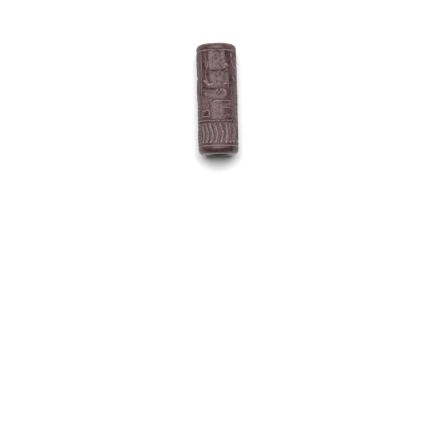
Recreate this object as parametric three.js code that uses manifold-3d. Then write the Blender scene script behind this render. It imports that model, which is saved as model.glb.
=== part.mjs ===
// A cylinder seal: a small stone barrel, bored from end to end, with a frieze sunk into its side.
// The seal lies on its side. Its axis runs along Y, with its upper end at +Y, and it rests on a narrow
// flat at z = 0. Lengths are in millimetres.
import * as THREE from "three";
import { mergeVertices } from "three/addons/utils/BufferGeometryUtils.js";
import Module from "manifold-3d";

// The blank
const DIAMETER = 10.2;
const EDGE_ROUNDING = 1.3;
const BORE_MOUTH_RADIUS = 2.05;
const BORE_RADIUS = 1.8;
const BORE_WAIST_RADIUS = 1.5;
const MOUTH_DEPTH = 0.4;
const RESTING_FLAT_WIDTH = 2.2;
const BARREL_SIDES = 48;
const ROUNDING_STEPS = 4;

// The frieze, between two ruled lines
const LOWER_MARGIN = 2;
const FRIEZE_HEIGHT = 23.75;
const UPPER_MARGIN = 2.05;
const PLATFORM = 6.3;
const GROUND = 0.95;
const LINE_WIDTH = 0.4;
const LINE_DEPTH = 0.2;
const SLIVER = 0.008; // triangles thinner than this are merged into their neighbours

const RADIUS = DIAMETER / 2;
const GIRTH = Math.PI * DIAMETER;
const LENGTH = LOWER_MARGIN + FRIEZE_HEIGHT + UPPER_MARGIN;
const AXIS_HEIGHT = Math.sqrt(RADIUS ** 2 - (RESTING_FLAT_WIDTH / 2) ** 2);
const BOTH_SIDES = [-1, 1];

const wasm = await Module();
wasm.setup();

function solidOf(geometry) {
  const bare = geometry.clone();
  bare.deleteAttribute("normal");
  bare.deleteAttribute("uv");
  const merged = mergeVertices(bare, 1e-4);
  return new wasm.Manifold(
    new wasm.Mesh({
      numProp: 3,
      vertProperties: merged.getAttribute("position").array,
      triVerts: new Uint32Array(merged.index.array),
    }),
  );
}

function geometryOf(solid) {
  const mesh = solid.getMesh();
  return new THREE.BufferGeometry()
    .setAttribute("position", new THREE.BufferAttribute(mesh.vertProperties, mesh.numProp))
    .setIndex(new THREE.BufferAttribute(mesh.triVerts, 1));
}

// The blank is a turned ring: bore, lower end, side and upper end.
function blank() {
  const half = LENGTH / 2;
  const profile = new THREE.Path();
  profile.moveTo(BORE_WAIST_RADIUS, 0);
  profile.lineTo(BORE_RADIUS, -half + MOUTH_DEPTH);
  profile.lineTo(BORE_MOUTH_RADIUS, -half);
  profile.absarc(RADIUS - EDGE_ROUNDING, -half + EDGE_ROUNDING, EDGE_ROUNDING, -Math.PI / 2, 0);
  profile.absarc(RADIUS - EDGE_ROUNDING, half - EDGE_ROUNDING, EDGE_ROUNDING, 0, Math.PI / 2);
  profile.lineTo(BORE_MOUTH_RADIUS, half);
  profile.lineTo(BORE_RADIUS, half - MOUTH_DEPTH);
  profile.lineTo(BORE_WAIST_RADIUS, 0);
  return new THREE.LatheGeometry(profile.getPoints(ROUNDING_STEPS / 2), BARREL_SIDES);
}

// A place on the frieze is [a, v]: a is the way round the girth from the seated figure, to the right as
// seen from outside with the upper end up, and v is the height above the lower ruled line.
function heightOnAxis(v) {
  return v - LENGTH / 2 + LOWER_MARGIN;
}

// A line ruled round the whole side, as a ring with a V-shaped section.
function ruledRing(v) {
  const y = heightOnAxis(v);
  const section = [
    new THREE.Vector2(RADIUS - LINE_DEPTH, y),
    new THREE.Vector2(RADIUS + LINE_DEPTH, y - LINE_WIDTH),
    new THREE.Vector2(RADIUS + LINE_DEPTH, y + LINE_WIDTH),
    new THREE.Vector2(RADIUS - LINE_DEPTH, y),
  ];
  return new THREE.LatheGeometry(section, BARREL_SIDES);
}

const cutters = [];

// Wraps a cutter made flat, in x = a, y = v and z = height over the surface, round the barrel.
function sink(flat) {
  const position = flat.getAttribute("position");
  for (let i = 0; i < position.count; i++) {
    const angle = position.getX(i) / RADIUS;
    const reach = RADIUS + position.getZ(i);
    position.setXYZ(i, reach * Math.sin(angle), heightOnAxis(position.getY(i)), reach * Math.cos(angle));
  }
  cutters.push(flat);
}

// A modelled hollow, as for a body: an oval bowl, turned by an angle in degrees.
function hollow([a, v], [halfWidth, halfHeight], depth, turn = 0, sides = 8) {
  const rimShare = Math.sqrt(3) / 2; // the ball is two depths in radius, and its centre is one above
  const ball = new THREE.SphereGeometry(1, sides, 5).rotateX(Math.PI / 2);
  ball.scale(halfWidth / rimShare, halfHeight / rimShare, 2 * depth);
  ball.rotateZ(THREE.MathUtils.degToRad(turn));
  ball.translate(a, v, depth);
  sink(ball);
}

// A round pit from the ball drill.
function drill(place, radius, depth) {
  hollow(place, [radius, radius], depth, 0, 6);
}

// A short cut that is deepest in its middle and runs out at both ends, as a wheel leaves it.
function nick([a1, v1], [a2, v2], width, depth) {
  const diamond = new THREE.OctahedronGeometry(1);
  diamond.scale(Math.hypot(a2 - a1, v2 - v1) / 2, width / 2, depth);
  diamond.rotateZ(Math.atan2(v2 - v1, a2 - a1));
  diamond.translate((a1 + a2) / 2, (v1 + v2) / 2, 0);
  sink(diamond);
}

// A groove of even depth and V-shaped section along a smooth line through the places given.
function groove(places, width, depth) {
  const line = new THREE.CatmullRomCurve3(places.map(([a, v]) => new THREE.Vector3(a, v, 0)));
  const section = new THREE.Shape();
  section.moveTo(depth, 0).lineTo(-depth, width).lineTo(-depth, -width);
  const steps = Math.max(places.length - 1, Math.ceil(line.getLength() / 1.3));
  sink(new THREE.ExtrudeGeometry(section, { steps, extrudePath: line }));
}

// The same cut, repeated: cut(k) for k from 0 to count - 1.
function repeat(count, cut) {
  for (let k = 0; k < count; k++) cut(k);
}

// A line of wavy strokes that end in drilled feet, below the platform.
function fringe() {
  groove([[-5.4, PLATFORM], [4, PLATFORM]], 0.45, 0.2);
  repeat(8, (k) => {
    const a = -5.2 + 1.25 * k;
    groove([[a, PLATFORM - 0.8], [a + 0.45, PLATFORM - 3], [a, GROUND + 0.4]], 0.5, 0.24);
    drill([a, GROUND], 0.36, 0.26);
  });
}

// The stool, with a hatched rail, and the footstool.
function seats() {
  const seat = PLATFORM + 5;
  const rail = PLATFORM + 3.25;
  groove([[-0.5, seat], [3.9, seat]], 0.4, 0.2);
  groove([[1.2, rail], [3.9, rail]], 0.35, 0.17);
  repeat(5, (k) => nick([1.5 + 0.5 * k, rail + 0.35], [1.5 + 0.5 * k, seat - 0.25], 0.26, 0.14));
  groove([[4.2, PLATFORM + 0.4], [4.2, seat + 2]], 0.35, 0.18);
  const [left, right, low, high] = [-4.2, -1.9, PLATFORM + 0.9, PLATFORM + 2.3];
  for (const v of [low, high]) groove([[left, v], [right, v]], 0.32, 0.17);
  for (const a of [left - 0.4, right + 0.4]) nick([a, low - 0.2], [a, high + 0.2], 0.3, 0.17);
}

// The figure on the stool, who faces left and holds out a cup on a staff.
function seatedFigure() {
  repeat(3, (k) => nick([-1.25 + 0.15 * k, 22.0 + 0.5 * k], [1.35 - 0.2 * k, 22.1 + 0.5 * k], 0.36, 0.2));
  hollow([-0.7, 20.85], [0.8, 0.9], 0.3);
  drill([0.95, 20.6], 0.6, 0.26);
  hollow([2.1, 20.3], [0.42, 0.85], 0.2, -15, 6);
  repeat(3, (k) => nick([-1.3 + 0.5 * k, 19.8], [-0.9 + 0.45 * k, 18.6], 0.34, 0.2));
  hollow([0.75, 16.8], [2, 1.75], 0.42, 0, 10);
  repeat(5, (k) => nick([1.9, 15.5 + 0.6 * k], [3.3, 15.4 + 0.6 * k], 0.28, 0.16));
  groove([[-1.0, 15.4], [-2.2, 15.3], [-3.3, 16.1]], 0.7, 0.3);
  groove([[-3.5, 16.9], [-3.35, 18.5], [-2.8, 20.6]], 0.34, 0.18);
  hollow([-0.75, 13.3], [3.1, 1.15], 0.44, 0, 10);
  hollow([-3.2, 10.9], [0.95, 2.0], 0.34);
  hollow([-0.25, 8.9], [1.2, 2.0], 0.3);
}

// A crescent, open upwards, with a disc in it.
function crescent(a, v, radius) {
  const places = [200, 235, 270, 305, 340].map((degrees) => {
    const turn = THREE.MathUtils.degToRad(degrees);
    return [a + radius * Math.cos(turn), v + radius * Math.sin(turn)];
  });
  groove(places, 0.5, 0.24);
  drill([a, v], 0.75, 0.28);
}

// A rosette: a drilled centre and a ring of drilled petals.
function rosette(a, v) {
  drill([a, v], 0.5, 0.28);
  repeat(7, (k) => {
    const turn = (k * 2 * Math.PI) / 7;
    drill([a + 1.3 * Math.cos(turn), v + 1.3 * Math.sin(turn)], 0.34, 0.2);
  });
}

// A small bull's head with its horns.
function bullHead(a, v) {
  hollow([a, v - 0.2], [0.6, 1.05], 0.28, 0, 6);
  for (const side of BOTH_SIDES) {
    groove([[a + 0.85 * side, v + 0.6], [a + 1.45 * side, v + 1.1], [a + 1.5 * side, v + 2]], 0.34, 0.18);
  }
}

// The hero in the middle of the far side, who holds two beasts apart with arms spread and raised.
function hero(a) {
  groove([[a - 0.6, 14.3], [a, 12.4], [a + 0.6, 14.3]], 0.3, 0.16);
  hollow([a, 9.1], [1.6, 2.9], 0.42, 0, 10);
  for (const side of BOTH_SIDES) {
    groove([[a + 1.1 * side, 14.3], [a + 3.3 * side, 16.0], [a + 6.2 * side, 17.4]], 0.75, 0.34);
    repeat(3, (k) => {
      const [across, up] = [a + (2.9 + 1.1 * k) * side, 14.8 + 0.45 * k];
      nick([across, up], [across + 0.4 * side, up - 2], 0.4, 0.2);
    });
    groove([[a + 0.8 * side, 5.4], [a + 1.3 * side, 3.8], [a + 1.9 * side, 1.6]], 0.6, 0.28);
    nick([a + 1.9 * side, GROUND], [a + 3.7 * side, GROUND], 0.45, 0.24);
  }
}

// A beast on its hind legs, held by the hero: side is 1 where he stands to its right.
function beast(a, side) {
  hollow([a, 8.2], [1.1, 2.9], 0.38, -8 * side);
  hollow([a + 0.5 * side, 12.1], [1.1, 0.6], 0.28, 35 * side, 6);
  repeat(3, (k) => drill([a + (1.7 + 0.35 * k) * side, 9.9 - 1.25 * k], 0.36, 0.2));
  groove([[a - 1.0 * side, 1.4], [a - 0.9 * side, 3.2], [a - 0.4 * side, 4.9]], 0.45, 0.24);
  groove([[a + 0.7 * side, 4.9], [a + 1.0 * side, 3.4], [a + 0.3 * side, 1.4]], 0.45, 0.24);
}

// The standing figure, seen from the front, with clasped hands, a brimmed hat and a long robe.
function standingFigure(a) {
  groove([[a - 3.1, 20.6], [a - 1.2, 21.9], [a + 1, 21.9], [a + 3.2, 21]], 0.5, 0.24);
  hollow([a, 20], [1.3, 1.2], 0.32);
  for (const side of BOTH_SIDES) repeat(2, (k) => drill([a + (1.9 + 0.5 * k) * side, 19.6 - 0.9 * k], 0.36, 0.2));
  hollow([a, 16.4], [2, 1.7], 0.4, 0, 10);
  groove([[a - 2.9, 17.2], [a - 3.1, 14.6], [a - 1.7, 13.9]], 0.45, 0.24);
  groove([[a + 2.6, 16.9], [a + 3.2, 13.2], [a + 3.8, 16.9]], 0.4, 0.24);
  hollow([a, 11.2], [1.35, 3], 0.38);
  hollow([a, 5.2], [1.8, 3.3], 0.36, 0, 10);
  for (const side of BOTH_SIDES) nick([a + 0.4 * side, GROUND + 0.2], [a + 1.9 * side, GROUND + 0.2], 0.4, 0.24);
}

// A column of short level dashes beside the standing figure, and a ruled upright.
function dashesAndUpright(a) {
  repeat(11, (k) => nick([a - 1.0, 1.6 + 0.95 * k], [a + 0.8, 1.6 + 0.95 * k], 0.34, 0.18));
  groove([[a + 1.95, 12.6], [a + 1.95, FRIEZE_HEIGHT - 0.5]], LINE_WIDTH, LINE_DEPTH);
}

function carveFrieze() {
  fringe();
  seats();
  seatedFigure();
  crescent(5.6, 21.4, 1.7);
  hero(10.8);
  beast(6.4, 1);
  beast(15.6, -1);
  bullHead(13.0, 20.5);
  rosette(16.9, 21.7);
  standingFigure(22.4);
  dashesAndUpright(GIRTH - 4.55 - 1.95);
}

function restingFlat() {
  const depth = RADIUS - AXIS_HEIGHT;
  return new THREE.BoxGeometry(DIAMETER, LENGTH + 1, 2 * depth).translate(0, 0, -RADIUS);
}

function sealBody() {
  carveFrieze();
  const tools = [restingFlat(), ruledRing(0), ruledRing(FRIEZE_HEIGHT), ...cutters];
  const body = solidOf(blank()).subtract(wasm.Manifold.union(tools.map(solidOf)));
  const stone = new THREE.MeshStandardMaterial({ color: "#5a3f42", roughness: 0.42, metalness: 0 });
  const mesh = new THREE.Mesh(geometryOf(body.simplify(SLIVER)), stone);
  mesh.name = "seal_body";
  mesh.position.z = AXIS_HEIGHT;
  return mesh;
}

const seal = new THREE.Group();
seal.add(sealBody());

export default seal;
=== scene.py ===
# %% [markdown]
# # A cylinder seal
# A cylinder seal is a small stone barrel with a scene cut backwards into its side. Rolled over wet clay
# it leaves the scene standing up in a long strip. It is one solid piece, drilled through for a cord or a
# pin. The order of work is the seal cutter's: grind the blank and bore it, cut the frieze, then let it
# wear. Lengths on the stone are given in millimetres and turned to metres by MM.

# %% Load the fixed frame
import math

import bmesh
import bpy
import numpy as np
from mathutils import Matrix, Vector


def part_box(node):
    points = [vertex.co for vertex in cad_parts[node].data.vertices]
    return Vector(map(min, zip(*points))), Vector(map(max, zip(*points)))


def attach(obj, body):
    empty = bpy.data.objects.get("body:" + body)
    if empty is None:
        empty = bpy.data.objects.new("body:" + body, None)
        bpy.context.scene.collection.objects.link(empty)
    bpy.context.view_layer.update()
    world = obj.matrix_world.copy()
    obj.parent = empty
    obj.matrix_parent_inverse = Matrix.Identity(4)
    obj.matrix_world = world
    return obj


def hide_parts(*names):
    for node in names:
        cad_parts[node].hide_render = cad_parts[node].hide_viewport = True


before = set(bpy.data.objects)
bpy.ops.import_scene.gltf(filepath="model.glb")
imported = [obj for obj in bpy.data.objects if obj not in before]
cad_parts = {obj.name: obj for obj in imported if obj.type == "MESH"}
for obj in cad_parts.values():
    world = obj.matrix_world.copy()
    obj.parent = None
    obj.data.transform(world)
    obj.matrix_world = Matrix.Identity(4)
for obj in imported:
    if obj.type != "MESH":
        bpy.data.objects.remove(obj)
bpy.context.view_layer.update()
MM = 0.001
low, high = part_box("seal_body")
print("frame box in mm:", [round((b - a) / MM, 2) for a, b in zip(low, high)])

# %% [markdown]
# ## The camera
# A long lens looks down on the table. It hangs beyond the seal's lower end and is tipped a little
# towards it, so the lower end face just shows, and the seal is turned a little in the view. A short lens
# close by would show the end face too, but the barrel's sides would draw together. A long one keeps them
# nearly parallel.

# %% Camera
VIEW_WIDTH = 108.461  # how much the lens takes in from side to side, at the height of the seal's axis
LENS_HEIGHT = 310.0
LENS_BEYOND_MIDDLE = 40.5
SEAL_RIGHT_OF_MIDDLE = 0.334
LEAN = math.radians(1.39)
TIP = math.radians(2.07)

radius = (high[0] - low[0]) / 2 / MM
length = (high[1] - low[1]) / MM
axis_height = high[2] / MM - radius
view_right = Vector((math.cos(LEAN), -math.sin(LEAN), 0))
view_up = Vector((math.sin(LEAN), math.cos(LEAN), 0))
lens_place = -SEAL_RIGHT_OF_MIDDLE * view_right - LENS_BEYOND_MIDDLE * view_up
lens_place.z = axis_height + LENS_HEIGHT

bpy.ops.object.select_all(action="DESELECT")
bpy.ops.object.camera_add(location=lens_place * MM, rotation=(TIP, 0, -LEAN))
camera = bpy.context.object
camera.name = "camera"
camera.data.lens = LENS_HEIGHT / VIEW_WIDTH * camera.data.sensor_width
camera.data.clip_start = 0.01
camera.data.clip_end = 5.0
bpy.context.scene.camera = camera
print("lens", round(camera.data.lens, 1), "mm, seal", round(length, 2), "by", round(2 * radius, 2), "mm")

# %% [markdown]
# ## The blank
# The blank was chipped roughly to shape and ground round on a flat stone, and its edges were eased. A
# profile spun round the axis would give the same form. A cylinder with many sides is the simpler start,
# and it leaves an even grid on the side. Its ends are inset to the mouth of the bore, the two mouths are
# bridged through the stone, the rims are bevelled, and the side is cut into fine rings, because every
# cut of the frieze will be real shape in that grid.

# %% Blank: a cylinder with many sides
SIDES = 384
HALF = length / 2

bpy.ops.object.select_all(action="DESELECT")
bpy.ops.mesh.primitive_cylinder_add(
    vertices=SIDES,
    radius=radius * MM,
    depth=length * MM,
    location=(0, 0, axis_height * MM),
    rotation=(math.radians(90), 0, 0),
)
seal = bpy.context.object
seal.name = "engraved_seal"
bpy.ops.object.transform_apply(location=True, rotation=True, scale=True)
print("cylinder:", SIDES, "sides,", round(2 * math.pi * radius / SIDES, 3), "mm wide each")

# %% Blank: choose faces and edges by their place
TINY = 0.01


def select_where(kind, test):
    """In edit mode, selects only the faces or edges whose middle passes the test."""
    bpy.ops.mesh.select_mode(type=kind)
    bpy.ops.mesh.select_all(action="DESELECT")
    mesh = bmesh.from_edit_mesh(seal.data)
    chosen = 0
    for part in mesh.faces if kind == "FACE" else mesh.edges:
        middle = sum((vert.co for vert in part.verts), Vector()) / len(part.verts)
        off_axis = math.hypot(middle.x, middle.z - axis_height * MM) / MM
        passes = test(off_axis, abs(middle.y) / MM, part)
        part.select_set(passes)
        chosen += passes
    bmesh.update_edit_mesh(seal.data)
    return chosen


def is_end_face(out, along, face):
    """True for faces that look along the axis."""
    return abs(face.normal.y) > 0.9


bpy.ops.object.mode_set(mode="EDIT")
end_faces = select_where("FACE", is_end_face)
print("end faces:", end_faces)

# %% Blank: rings on the end faces, and the bore
RIM_HIGHLIGHT_RADIUS = 3.4  # inside this the end face gets no painted highlight
BORE_SHADE_RADIUS = 2.45  # the painted shade in the bore fades out this far round it
MOUTH_RADIUS = 2.05
BORE_RINGS = 15

ring = radius
for next_ring in (RIM_HIGHLIGHT_RADIUS, BORE_SHADE_RADIUS, MOUTH_RADIUS):
    bpy.ops.mesh.inset(thickness=(ring - next_ring) * MM, use_individual=True)
    ring = next_ring
bpy.ops.mesh.delete(type="FACE")
mouth_edges = select_where("EDGE", lambda out, along, edge: edge.is_boundary)
bpy.ops.mesh.bridge_edge_loops(number_cuts=BORE_RINGS)
print("bore bridged between", mouth_edges, "edges")

# %% Blank: rounded rims and a fine side
EDGE_ROUNDING = 1.3
ROUNDING_STEPS = 7
COARSE_RINGS = 10
FINE_RINGS = 19
WELD = 0.0001


def is_rim(out, along, edge):
    """True for the edges between an end face and the side."""
    return out > radius - TINY and along > HALF - TINY


def runs_along_side(out, along, edge):
    """True for edges that run along the side, from rounding to rounding."""
    runs_along = abs(edge.verts[0].co.y - edge.verts[1].co.y) > TINY * MM
    return runs_along and out > radius - TINY and along < HALF - EDGE_ROUNDING


select_where("EDGE", is_rim)
bpy.ops.mesh.bevel(offset=EDGE_ROUNDING * MM, segments=ROUNDING_STEPS, profile=0.5, affect="EDGES")
for cuts in (COARSE_RINGS, FINE_RINGS):  # one subdivide makes at most 100 cuts, so the side takes two
    select_where("EDGE", runs_along_side)
    bpy.ops.mesh.subdivide(number_cuts=cuts)
bpy.ops.mesh.select_all(action="SELECT")
bpy.ops.mesh.remove_doubles(threshold=WELD * MM)
bpy.ops.mesh.normals_make_consistent(inside=False)
bpy.ops.object.mode_set(mode="OBJECT")
print("blank:", len(seal.data.vertices), "vertices", len(seal.data.polygons), "faces")

# %% [markdown]
# ## A map of the side
# The cutter works on a flat picture in the mind and the stone turns under the tool. Each vertex gets the
# same map: a is its way round the girth in millimetres, to the right seen from outside, from the seated
# figure that lies on top, and v is its height above the lower ruled line. Cutting each shape away with a
# boolean would need hundreds of tools, and a map needs only sums. A gentle wobble in the map makes every
# straight cut a hand's cut.

# %% Map the vertices to the frieze
LOWER_MARGIN = 2.0
UPPER_MARGIN = 1.93
FRIEZE_HEIGHT = length - LOWER_MARGIN - UPPER_MARGIN
GIRTH = 2 * math.pi * radius
SIDE_END = HALF - 0.9 * EDGE_ROUNDING  # just past the ring where the rounding starts


def vertex_places():
    """All the vertices, in mm."""
    flat = np.empty(len(seal.data.vertices) * 3)
    seal.data.vertices.foreach_get("co", flat)
    return flat.reshape(-1, 3) / MM


places = vertex_places()
out = np.hypot(places[:, 0], places[:, 2] - axis_height)
on_side = np.flatnonzero((out > radius - TINY) & (abs(places[:, 1]) < SIDE_END))
straight_a = np.arctan2(places[on_side, 0], places[on_side, 2] - axis_height) * radius
straight_v = places[on_side, 1] + HALF - LOWER_MARGIN
print("mapped", len(on_side), "vertices, girth", round(GIRTH, 2), "mm")

# %% A hand's wobble in the map
WOBBLE = 0.045


def ripple(a, v, seed, waves, size, finest=3.9):
    """A smooth random wave over the side that meets itself round the girth; finest is in mm."""
    dice = np.random.default_rng(seed)
    most = GIRTH / finest
    total = np.zeros_like(a)
    for _ in range(waves):
        round_count = round(dice.uniform(-most, most))
        along = 2 * math.pi / finest * dice.uniform(-1, 1)
        total += np.sin(2 * math.pi * round_count * a / GIRTH + along * v + dice.uniform(0, 2 * math.pi))
    return size * total / math.sqrt(waves)


map_a = straight_a + ripple(straight_a, straight_v, seed=1, waves=8, size=WOBBLE)
map_v = straight_v + ripple(straight_a, straight_v, seed=2, waves=8, size=WOBBLE)
print("map wobbles by up to", round(float(abs(map_v - straight_v).max()), 3), "mm")

# %% [markdown]
# ## The cutter's tools
# A seal cutter had few tools: a graver and a wheel for lines, a ball drill for dots, and abrasive on a
# rounded tip to hollow out bodies. Bodies are sunk first and details are cut deeper inside them, so the
# two are kept as two depths that are added at the end. A drawn depth picture would do the same, but cuts
# with a place, a width and a depth can be changed one at a time. The deepest details also get painted
# shade, which keeps them dark.

# %% Tools: hollow
SHADED_DEPTH = 0.3  # a detail cut deeper than this gets painted shade in its colour
WEDGE = 0.5  # how much deeper a hollow is at its upper end than in its middle
LIP = 0.55  # below 1 a hollow has steep walls and a crisp lip

bodies = np.zeros(len(on_side))
details = np.zeros(len(on_side))
painted_shade = np.zeros(len(on_side))  # from 0 to 1, where the colour gets painted shade
hand = np.random.default_rng(7)


def about(value, spread=0.1):
    """A value as a hand makes it, more or less by a share of it."""
    return value * hand.uniform(1 - spread, 1 + spread)


def away_from(place):
    """How far each vertex lies from a place, the short way round the girth."""
    across = (map_a - place[0] + GIRTH / 2) % GIRTH - GIRTH / 2
    return across, map_v - place[1]


def hollow(place, half_sizes, depth, lean=0, layer=bodies, corners=2.0):
    """A bowl, deepest towards its top; lean turns it in degrees, more than 2 corners squares it."""
    across, up = away_from(place)
    tilt = math.radians(lean)
    along = abs(across * math.cos(tilt) + up * math.sin(tilt)) / half_sizes[0]
    over = abs(up * math.cos(tilt) - across * math.sin(tilt)) / half_sizes[1]
    inside = np.clip(1 - along**corners - over**corners, 0, 1)
    slope = 1 + WEDGE * np.clip(up / half_sizes[1], -1, 1)
    np.maximum(layer, depth * slope * inside**LIP, out=layer)
    # the deepest details also get painted shade in the colour
    if layer is details and depth > SHADED_DEPTH:
        np.maximum(painted_shade, inside**LIP, out=painted_shade)


print("hollows ready; details deeper than", SHADED_DEPTH, "mm hold dirt")

# %% Tools: ball drill
def drill(place, drill_radius, depth, layer=details):
    """A round pit from the ball drill."""
    hollow(place, (drill_radius, drill_radius), about(depth), 0, layer)


def drills(places, drill_radius, depth):
    """The same pit at several places."""
    for place in places:
        drill(place, drill_radius, depth)


across, up = away_from((0, FRIEZE_HEIGHT / 2))
print("a pit 0.4 mm across takes in", int((np.hypot(across, up) < 0.2).sum()), "vertices")

# %% Tools: stroke
def smooth_line(points, steps=6):
    """A curve through the points given, as a run of short straight pieces."""
    if len(points) == 2:
        return np.array(points, float)
    spots = np.array([points[0], *points, points[-1]], float)
    run = []
    for before, start, end, after in zip(spots, spots[1:], spots[2:], spots[3:]):
        for t in np.arange(steps) / steps:
            bend = (2 * before - 5 * start + 4 * end - after) * t**2
            twist = (3 * start - before - 3 * end + after) * t**3
            run.append(start + 0.5 * ((end - before) * t + bend + twist))
    run.append(spots[-1])
    return np.array(run)


def stroke(points, width, depth, ends=0.35, layer=details):
    """A round-bottomed cut along a line; ends is the share of depth and width left at its two tips."""
    line = smooth_line(points)
    across, up = away_from(line[0])
    steps = line - line[0]
    near = np.flatnonzero(
        (across > steps[:, 0].min() - width)
        & (across < steps[:, 0].max() + width)
        & (up > steps[:, 1].min() - width)
        & (up < steps[:, 1].max() + width)
    )
    spots = np.stack([across[near], up[near]], 1)
    pieces = np.diff(steps, axis=0)
    lengths = np.hypot(*pieces.T)
    walked = np.concatenate([[0], np.cumsum(lengths)]) / lengths.sum()
    cut = np.zeros(len(near))
    for start, piece, piece_length, done, share in zip(steps, pieces, lengths, walked, np.diff(walked)):
        t = np.clip((spots - start) @ piece / piece_length**2, 0, 1)
        gap = np.hypot(*(spots - start - t[:, None] * piece).T)
        along = 2 * (done + share * t) - 1
        swell = ends + (1 - ends) * np.sqrt(np.clip(1 - along**4, 0, 1))
        np.maximum(cut, swell * depth * (1 - (2 * gap / (width * swell)) ** 2), out=cut)
    layer[near] = np.maximum(layer[near], cut)
    # the deepest details also get painted shade in the colour
    if layer is details and depth > SHADED_DEPTH:
        painted_shade[near] = np.maximum(painted_shade[near], cut / depth)


print("a curve through 3 points has", len(smooth_line([(0, 0), (1, 1), (2, 0)])), "points")

# %% Tools: repeated strokes, grooves and arcs
SHAKE = 0.03  # how far the hand strays from one stroke to the next
DEEP_WIDTH = 0.36
DEEP = 0.37
UNDERCUT = 0.62  # the deepest grooves, under a chin, a lap or the platform


def strokes(count, points_of, width, depth, ends=0.35):
    """The same stroke, repeated: points_of(k) gives the points of stroke k."""
    for k in range(count):
        shaken = np.array(points_of(k), float) + hand.normal(0, SHAKE, 2)
        stroke(shaken, about(width), about(depth, 0.12), ends)


def groove(points, depth=DEEP):
    """A deep narrow cut that parts two forms; its colour gets painted shade."""
    stroke(points, DEEP_WIDTH, depth, 0.5)


def arc(centre, arc_radius, start, end, count=7):
    """Points along part of a circle, from one angle to another in degrees."""
    angles = np.radians(np.linspace(start, end, count))
    return [(centre[0] + arc_radius * math.cos(t), centre[1] + arc_radius * math.sin(t)) for t in angles]


print("grooves are", DEEP_WIDTH, "mm wide and", DEEP, "to", UNDERCUT, "mm deep")

# %% [markdown]
# ## The ruled lines
# Two lines round the whole side hold the frieze, and one upright closes its scene. The graver was held
# still while the stone turned, so the lines hardly wander. Each is one sum over the whole map, because a
# stroke that met itself round the girth would show where it starts.

# %% Ruled lines
LINE_WIDTH = 0.4
LINE_DEPTH = 0.15
RULER_SLIP = 0.03
UPRIGHT = -4.45

for line_v in (0.0, FRIEZE_HEIGHT):
    slip = ripple(map_a, map_v, seed=3, waves=5, size=RULER_SLIP)
    gap = abs(map_v - line_v + slip)
    np.maximum(details, LINE_DEPTH * (1 - (2 * gap / LINE_WIDTH) ** 2), out=details)
stroke([(-5.5, 17.9), (-5.6, 12.4)], 0.5, 0.1, 0.8)  # a faint second line beside the upright
stroke([(UPRIGHT, 24), (UPRIGHT - 0.05, 18), (UPRIGHT - 0.25, 12.6)], 0.4, 0.15, 0.8)
print("ruled lines cut:", int((details > 0).sum()), "vertices")

# %% [markdown]
# ## The seated figure
# A god or goddess on a stool, facing left, with a horned crown, a long beard and a fringed robe, one
# hand held out with a staff. This is the side that lies uppermost. The crown is a stack of curved horns,
# and drilled dots are the curls and the bun. The face is plain: a wedge nose and a dot for the eye. A
# sculpted mesh could be pressed into the stone, but the cutter built each form from one squared hollow
# with a few strokes and dots in it, and so does this.

# %% Crowned head
HORNS = (21.95, 22.55, 23.15)  # height of each pair of horns


def crowned_head():
    hollow((-0.05, 22.25), (2.0, 1.75), 0.32, 0, bodies, 3.0)
    hollow((-0.45, 20.5), (1.6, 1.75), 0.3, 0, bodies, 2.6)
    hollow((1.25, 20.2), (1.35, 1.4), 0.22, 0, bodies, 2.4)
    hollow((2.35, 20.2), (0.75, 0.6), 0.22, -20)
    stroke([(-1.9, 21.15), (-2.35, 20.65)], 0.4, 0.14)
    for v in HORNS:
        stroke([(-0.15, v - 0.12), (-1.0, v - 0.15), (-1.6, v + 0.1), (-1.9, v + 0.42)], 0.24, 0.1)
        stroke([(0.1, v - 0.15), (0.9, v - 0.1), (1.45, v + 0.1), (1.75, v + 0.4)], 0.24, 0.1)
    groove([(-0.6, 23.3), (0.1, 23.45), (0.8, 23.3), (1.3, 22.9)], UNDERCUT)
    drills([(-1.3, 21.4), (-0.7, 21.85), (-0.1, 22.15), (0.4, 21.9), (-0.8, 22.7), (-1.8, 23.3)], 0.2, 0.1)
    drills([(1.35, 22.6), (1.4, 21.6), (0.5, 20.45), (-0.2, 21.0), (1.7, 22.1)], 0.2, 0.1)
    drills([(-1.2, 21.85), (0.0, 21.7), (-0.3, 22.45), (0.9, 22.2), (1.1, 21.2)], 0.24, DEEP)


def beard_and_bun():
    strokes(4, lambda k: [(-1.6 + 0.38 * k, 20.4), (-1.45 + 0.34 * k, 18.95)], 0.2, 0.1)
    stroke([(0.0, 20.15), (0.55, 19.45), (0.9, 18.75)], 0.32, 0.13)
    groove([(0.3, 20.4), (0.95, 19.8), (1.2, 19.0)])
    stroke([(-0.55, 19.35), (-0.25, 19.95)], 0.24, 0.1)
    stroke([(1.95, 20.45), (2.3, 20.2), (2.75, 20.05)], 0.34, 0.13)
    stroke([(1.6, 19.9), (2.05, 19.5), (1.55, 19.1)], 0.34, 0.13)
    groove([(-1.75, 18.4), (-0.8, 18.5), (0.4, 18.4)], UNDERCUT)
    stroke([(1.1, 18.5), (2.0, 18.7), (2.8, 19.1)], 0.5, UNDERCUT, 0.4)
    drill((-1.1, 21.05), 0.2, DEEP)
    drill((1.95, 21.3), 0.22, 0.12)


crowned_head()
beard_and_bun()
print("crowned head:", len(HORNS), "pairs of horns")

# %% Shoulders and chest
PLEATS = 5
PLEAT_STEP = 0.5


def shoulders():
    hollow((0.45, 16.8), (2.1, 2.15), 0.32, 0, bodies, 2.7)
    hollow((-0.6, 14.9), (2.4, 0.75), 0.1, 0, bodies, 3.0)
    stroke([(1.95, 17.9), (2.5, 17.0), (2.2, 15.5)], 1.25, 0.28, 0.75, bodies)
    for k in range(PLEATS):
        v = 15.9 + PLEAT_STEP * k
        stroke([(1.4, v + 0.15), (2.3, v + 0.05), (3.15, v - 0.25)], 0.26, 0.15)
        stroke([(1.6, v + 0.4), (2.4, v + 0.3), (3.1, v + 0.05)], 0.26, DEEP)


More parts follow.
